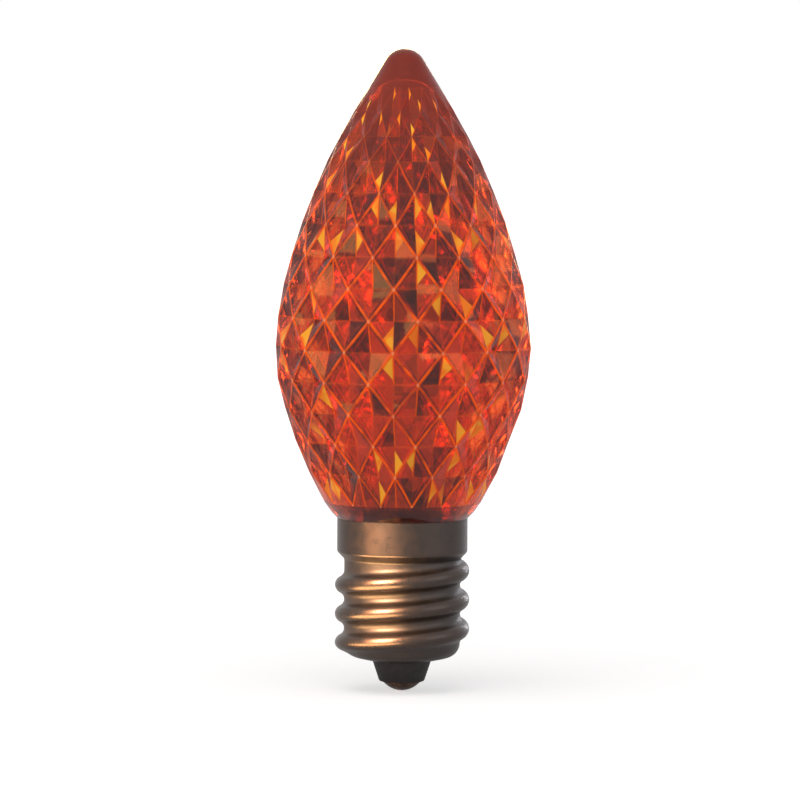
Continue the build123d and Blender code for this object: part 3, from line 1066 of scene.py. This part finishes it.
@dataclass
class ThreadedShell:
    """The rolled shell with its skirt, thread and turned-in lower end.

    Millimetres, degrees and turns of the thread.
    """

    plate: BronzePlate = BronzePlate()
    sheet: float = 0.3
    bottom: float = 2.6
    opening_radius: float = 2.6
    curl_rise: float = 0.55
    curl_radius: float = 1.3
    root_radius: float = 5.05
    skirt_radius: float = 5.68
    skirt_bottom: float = 12.15
    skirt_step: float = 0.65
    skirt_round: float = 0.35
    skirt_top: float = 15.05
    crest_radius: float = 5.85
    crest_round: float = 0.8
    pitch: float = 2.54
    start_height: float = 4.08
    start_angle: float = 170.0
    turns: float = 2.7
    lead_in: float = 0.22
    run_out: float = 0.16
    run_out_stretch: float = 1.6
    curl_reach: float = 1.2
    spacing: float = 0.11
    round_steps: int = 8
    steps: int = 168
    sharp_from: float = 50.0

    def press(self, away: float) -> float:
        """How far the thread stands out from the root.

        Args:
            away: Height from the crest's middle line.

        Returns:
            The rise, from zero in the root to the thread's depth on the crest.
        """
        depth = self.crest_radius - self.root_radius
        half = self.pitch / 2
        flank = 2 * math.atan2(depth, half)
        root_round = half / math.sin(flank) - self.crest_round
        away = abs(away)
        if away >= half:
            return 0.0
        if away <= self.crest_round * math.sin(flank):
            return depth - self.crest_round + math.sqrt(self.crest_round**2 - away**2)
        return root_round - math.sqrt(max(root_round**2 - (half - away) ** 2, 0.0))

    def fade(self, turn: float) -> float:
        """How much of the thread's depth is there at a point along it.

        Args:
            turn: Turns from the start of the full thread.

        Returns:
            From 0, where the wall is plain, to 1.
        """
        rise = min(max((turn + self.lead_in) / self.lead_in, 0.0), 1.0)
        left = (self.turns + self.run_out - turn) / self.run_out / self.run_out_stretch
        fall = min(max(left, 0.0), 1.0)
        return rise * rise * (3 - 2 * rise) * fall * fall * (3 - 2 * fall)

    def rise(self, angle: float, height: float) -> float:
        """How far the rolled thread lifts the wall at a place.

        Args:
            angle: Angle from +X, in degrees.
            height: Height of the place.

        Returns:
            The lift, in millimetres.
        """
        first = ((angle - self.start_angle) % 360) / 360 - 1
        best = 0.0
        for lap in range(int(self.turns) + 3):
            turn = first + lap
            crest = self.start_height + self.pitch * turn
            best = max(best, self.press(height - crest) * self.fade(turn))
        return best

    def build(self) -> Piece:
        """Turns the shell's wall, rolls the thread into it and gives it the sheet's thickness.

        Returns:
            The shell.
        """
        corners = [
            (self.opening_radius, self.bottom, 0.0),
            (self.root_radius, self.bottom + self.curl_rise, self.curl_radius),
            (self.root_radius, self.skirt_bottom - self.skirt_step, self.skirt_round),
            (self.skirt_radius, self.skirt_bottom, self.skirt_round),
            (self.skirt_radius, self.skirt_top, 0.0),
        ]
        outline = divided(rounded(corners, self.round_steps), self.spacing)
        shell = turned("threaded_shell", outline, self.steps)
        for vertex in shell.data.vertices:
            x, y, z = vertex.co
            radius = math.hypot(x, y)
            lift = self.rise(math.degrees(math.atan2(y, x)), z / MM) * MM
            if radius / MM > self.root_radius - self.curl_reach:
                vertex.co.x *= (radius + lift) / radius
                vertex.co.y *= (radius + lift) / radius
        self.face_outwards(shell)
        apply_modifier(
            shell,
            "SOLIDIFY",
            thickness=self.sheet * MM,
            offset=-1.0,
            use_even_offset=True,
            use_rim=True,
        )
        shade(shell, self.sharp_from)
        metal = self.plate.make(self.root_radius, self.crest_radius)
        install(shell, metal, "screw_shell")
        return shell

    def face_outwards(self, shell: Piece) -> None:
        """Turns the wall's faces away from the axis if they look towards it.

        Args:
            shell: The open wall.
        """
        skirt = [p for p in shell.data.polygons if p.center.z / MM > self.skirt_bottom]
        if sum(p.normal.x * p.center.x + p.normal.y * p.center.y for p in skirt) < 0:
            clear_mesh_selection(shell.data)
            with editing(shell, Pick.FACES):
                bpy.ops.mesh.select_all(action="SELECT")
                bpy.ops.mesh.flip_normals()


@dataclass
class BaseEnd:
    """The black insulator and the riveted centre contact. Millimetres."""

    fit: float = 0.05
    foot_bottom: float = 0.8
    foot_radius: float = 1.95
    opening_radius: float = 2.6
    shell_bottom: float = 2.6
    flange_radius: float = 3.4
    flange_top: float = 3.95
    flange_slope: float = 0.256
    sheet: float = 0.3
    dome_radius: float = 1.65
    shank_radius: float = 0.8
    hole_radius: float = 0.5
    hole_bottom: float = 1.2
    head_radius: float = 1.3
    head_height: float = 0.3
    rim_height: float = 0.06
    rim_width: float = 0.08
    hole_round: float = 0.08
    foot_round: float = 0.22
    neck_round: float = 0.12
    seat_round: float = 0.1
    flange_round: float = 0.15
    mouth_round: float = 0.1
    rim_round: float = 0.05
    rim_inner_round: float = 0.04
    head_under_round: float = 0.08
    head_round: float = 0.12
    dome_steps: int = 16
    contact_steps: int = 72
    insulator_steps: int = 96
    sharp_from: float = 40.0

    def insulator(self) -> Piece:
        """Models the insulator with its moulded edges.

        Returns:
            The insulator.
        """
        neck = self.opening_radius - self.fit
        seat = self.shell_bottom + self.sheet + self.fit
        hole = self.shank_radius + self.fit
        middle = (self.foot_bottom + self.flange_top) / 2
        slope = self.flange_slope * (self.flange_radius - self.opening_radius)
        outline = rounded(
            [
                (hole, middle, 0.0),
                (hole, self.foot_bottom, self.hole_round),
                (self.foot_radius, self.foot_bottom, self.foot_round),
                (neck, self.shell_bottom, self.neck_round),
                (neck, seat, 0.0),
                (self.flange_radius, seat + slope, self.seat_round),
                (self.flange_radius, self.flange_top, self.flange_round),
                (hole, self.flange_top, self.mouth_round),
                (hole, middle, 0.0),
            ]
        )[:-1]
        piece = turned("insulator_ring", outline, self.insulator_steps, closed=True)
        shade(piece, self.sharp_from)
        install(piece, Finish.INSULATOR.value.make(), "base_insulator")
        return piece

    def contact(self) -> Piece:
        """Models the rivet with its domed head and rolled rim.

        Returns:
            The contact.
        """
        sphere = (self.dome_radius**2 + self.foot_bottom**2) / (2 * self.foot_bottom)
        rim = math.asin(self.dome_radius / sphere)
        angles = [rim * step / self.dome_steps for step in range(self.dome_steps - 1)]
        dome = [(sphere * math.sin(a), sphere * (1 - math.cos(a))) for a in angles]
        top = self.flange_top + self.head_height
        rest = rounded(
            [
                (*dome[-1], 0.0),
                (self.dome_radius, self.foot_bottom - self.rim_height, self.rim_round),
                (self.dome_radius - self.rim_width, self.foot_bottom, self.rim_inner_round),
                (self.shank_radius, self.foot_bottom, 0.0),
                (self.shank_radius, self.flange_top, 0.0),
                (self.head_radius, self.flange_top, self.head_under_round),
                (self.head_radius, top, self.head_round),
                (self.hole_radius, top, self.mouth_round),
                (self.hole_radius, self.hole_bottom, 0.0),
                (0.0, self.hole_bottom, 0.0),
            ]
        )
        piece = turned("contact_rivet", dome[:-1] + rest, self.contact_steps)
        shade(piece, self.sharp_from)
        install(piece, Finish.CONTACT.value.make(), "center_contact")
        return piece

    def build(self) -> tuple[Piece, Piece]:
        """Models both pieces.

        Returns:
            The insulator and the contact.
        """
        return self.insulator(), self.contact()


@dataclass
class LightEngine:
    """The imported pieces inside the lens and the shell, which keep their shape."""

    def build(self) -> None:
        """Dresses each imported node."""
        finishes = {
            Finish.COLLAR: ("board_collar",),
            Finish.BOARD: ("circuit_board",),
            Finish.RESIN: (
                "led_front_lower",
                "led_front_upper",
                "led_back_lower",
                "led_back_upper",
                "led_top",
            ),
            Finish.PACKAGE: ("bridge_rectifier",),
            Finish.CAN: ("smoothing_capacitor",),
            Finish.LACQUER: ("series_resistor",),
            Finish.TINNED: ("contact_wire", "shell_wire"),
        }
        for finish, nodes in finishes.items():
            material = finish.value.make()
            for node in nodes:
                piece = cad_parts[node]
                for slot in piece.material_slots:
                    slot.material = material
                log.info("%s: packed shape in %s", node, finish.value.name)


# The studio


class Lit(Enum):
    """Which pieces a lamp lights."""

    ALL = "everything"
    LENS = "the lens"
    METAL = "the shell and the contact"


@dataclass(frozen=True)
class Softbox:
    """A lamp with a plain face, aimed at the middle of the bulb. Degrees and metres."""

    name: str
    azimuth: float
    elevation: float
    distance: float
    width: float
    height: float
    radiance: float
    colour: Colour = (1.0, 1.0, 1.0)
    aim_height: float = 0.026
    lights: Lit = Lit.ALL
    mirrored: bool = True

    def build(self, pieces: dict[Lit, list[Piece]]) -> Piece:
        """Hangs the lamp.

        Args:
            pieces: The pieces that each kind of lamp lights.

        Returns:
            The lamp.
        """
        turn, lift = math.radians(self.azimuth), math.radians(self.elevation)
        flat = math.cos(lift)
        aim = Vector((0, 0, self.aim_height))
        away = Vector((math.sin(turn) * flat, -math.cos(turn) * flat, math.sin(lift)))
        bpy.ops.object.light_add(type="AREA", location=aim + away * self.distance)
        lamp = bpy.context.object
        lamp.name = self.name
        lamp.rotation_euler = away.to_track_quat("Z", "Y").to_euler()
        lamp.data.shape = "RECTANGLE"
        lamp.data.size, lamp.data.size_y = self.width, self.height
        lamp.data.energy = self.radiance * math.pi * self.width * self.height
        lamp.data.color = self.colour
        lamp.visible_camera = False
        lamp.visible_glossy = self.mirrored
        if self.lights in pieces:
            group = bpy.data.collections.new(f"lit_by_{self.name}")
            for piece in pieces[self.lights]:
                group.objects.link(piece)
            lamp.light_linking.receiver_collection = group
        return lamp


@dataclass
class Studio:
    """White surroundings, a white floor that keeps the shadow, and the lamps."""

    plain_light: float = 0.3
    mirrored_white: float = 0.62
    mirrored_floor: float = 0.2
    floor_size: float = 6.0
    floor_light: float = 0.6
    floor_grain: float = 3.0
    floor_pale: Colour = (0.8, 0.8, 0.8)
    floor_grey: Colour = (0.78, 0.78, 0.78)
    shadow_core: float = 40.0
    shadow_reach: float = 160.0
    lamps: tuple[Softbox, ...] = (
        Softbox("top_softbox", -20, 68, 0.6, 0.5, 0.5, 1.6, mirrored=False),
        Softbox("key_softbox", -38, 27, 0.5, 0.27, 0.27, 50.0, (1.0, 0.76, 0.46), 0.008, Lit.METAL),
        Softbox(
            "warm_surround", -40, 28, 0.52, 0.5, 0.46, 11.0, (1.0, 0.28, 0.04), 0.008, Lit.METAL
        ),
        Softbox(
            "floor_card", -42, -86.9, 0.298, 0.02, 0.012, 20.0, (1.0, 0.56, 0.22), 0.3, Lit.METAL
        ),
        Softbox("rim_strip", 150, 8, 0.5, 0.03, 0.3, 9.0, (0.88, 0.9, 1.0), 0.008, Lit.METAL),
        Softbox("fill_card", 62, 6, 0.5, 0.4, 0.5, 0.6, (0.94, 0.96, 1.0), 0.008, Lit.METAL),
        Softbox("skirt_card", -54, 0, 0.22, 0.11, 0.03, 7.0, (1.0, 0.5, 0.2), 0.0155, Lit.METAL),
        Softbox("warm_softbox", -44, 10, 0.52, 0.5, 0.3, 4.4, (1.0, 0.42, 0.11), lights=Lit.LENS),
        Softbox("red_softbox", 92, 0, 0.5, 0.4, 0.5, 5.0, (1.0, 0.18, 0.03), lights=Lit.LENS),
        Softbox("back_softbox", -172, 8, 0.5, 0.2, 0.1, 15.0, (1.0, 0.6, 0.22), lights=Lit.LENS),
        Softbox(
            "low_back_softbox", 166, -2, 0.5, 0.12, 0.1, 18.0, (1.0, 0.58, 0.22), lights=Lit.LENS
        ),
    )

    def seen(self, bench: Bench, share: float) -> Socket:
        """How white a ray finds the surroundings.

        The camera and what goes through glass find them fully white, and reflections partly.

        Args:
            bench: Where the nodes are laid out.
            share: How white they are in reflections.

        Returns:
            The factor's socket.
        """
        path = bench.node("ShaderNodeLightPath")
        factor = bench.math("MULTIPLY", path.outputs["Is Glossy Ray"], share)
        for name in ("Is Camera Ray", "Is Transmission Ray"):
            factor = bench.math("MAXIMUM", factor, path.outputs[name])
        return factor

    def surroundings(self) -> None:
        """Makes the world: white where it is seen, and a plain soft light on the pieces."""
        bench = Bench("white_studio", world=True)
        bpy.context.scene.world = bench.owner
        mix = bench.node("ShaderNodeMixShader")
        bench.put(mix.inputs[0], self.seen(bench, self.mirrored_white))
        for socket, light in zip(mix.inputs[1:], (self.plain_light, 1.0)):
            glow = bench.node("ShaderNodeBackground", Color=(1.0, 1.0, 1.0), Strength=light)
            bench.put(socket, glow.outputs[0])
        bench.show(mix)

    def floor(self) -> None:
        """Lays the floor, which isn't part of the bulb."""
        bpy.ops.object.select_all(action="DESELECT")
        bpy.ops.mesh.primitive_plane_add(size=self.floor_size)
        floor = bpy.context.object
        floor.name = "studio_floor"
        bench = Bench("studio_floor")
        grain = bench.noise(self.floor_grain, detail=3.0)
        colour = bench.blend(grain, self.floor_pale, self.floor_grey)
        x, y, _ = bench.split()
        shown = bench.node("ShaderNodeLightPath").outputs["Is Camera Ray"]
        near = bench.math("SUBTRACT", 1.0, bench.math("MULTIPLY", shown, 1.0 - self.floor_light))
        lit = bench.span(bench.from_axis(x, y), self.shadow_core, self.shadow_reach, near, 1.0)
        light = bench.math("MULTIPLY", self.seen(bench, self.mirrored_floor), lit)
        both = bench.node("ShaderNodeAddShader")
        diffuse = bench.node("ShaderNodeBsdfDiffuse", Color=colour)
        glow = bench.node("ShaderNodeEmission", Strength=light)
        for socket, shader in zip(both.inputs, (diffuse, glow)):
            bench.put(socket, shader.outputs[0])
        bench.show(both)
        floor.data.materials.append(bench.owner)

    def build(self, pieces: dict[Lit, list[Piece]]) -> None:
        """Sets up the floor, the world and the lamps.

        Args:
            pieces: The pieces that each kind of lamp lights.
        """
        self.surroundings()
        self.floor()
        for lamp in self.lamps:
            lamp.build(pieces)
            log.info("%s: radiance %.1f", lamp.name, lamp.radiance)


@dataclass
class PhotographView:
    """The camera where the photograph was taken from. Millimetres, degrees and pixels."""

    distance: float = 520.0
    height: float = 60.5
    aim_height: float = 25.33
    aside: float = -0.26
    frame_pixels: float = 800.0
    pixel: float = 0.08686
    sensor: float = 36.0
    roll: float = 0.27

    def build(self) -> Piece:
        """Sets up the camera.

        Returns:
            The camera.
        """
        place = Vector((self.aside, -self.distance, self.height)) * MM
        aim = Vector((self.aside, 0, self.aim_height)) * MM
        bpy.ops.object.camera_add(location=place)
        camera = bpy.context.object
        camera.name = "photograph_view"
        turn = (aim - place).to_track_quat("-Z", "Y").to_matrix()
        camera.rotation_euler = turn.to_euler()
        camera.rotation_euler.rotate_axis("Z", math.radians(self.roll))
        camera.data.sensor_width = self.sensor
        reach = (aim - place).length / MM
        camera.data.lens = self.sensor * reach / (self.frame_pixels * self.pixel)
        camera.data.clip_start, camera.data.clip_end = 0.01, 20.0
        bpy.context.scene.camera = camera
        return camera


def main() -> None:
    """Builds the bulb's pieces, the studio and the camera."""
    logging.basicConfig(level=logging.INFO, format="%(name)s: %(message)s")
    bpy.context.scene.view_settings.view_transform = "Standard"
    lens = FacetedLens().build()
    shell = ThreadedShell().build()
    _, contact = BaseEnd().build()
    LightEngine().build()
    Studio().build({Lit.LENS: [lens], Lit.METAL: [shell, contact]})
    PhotographView().build()


if __name__ == "__main__":
    main()
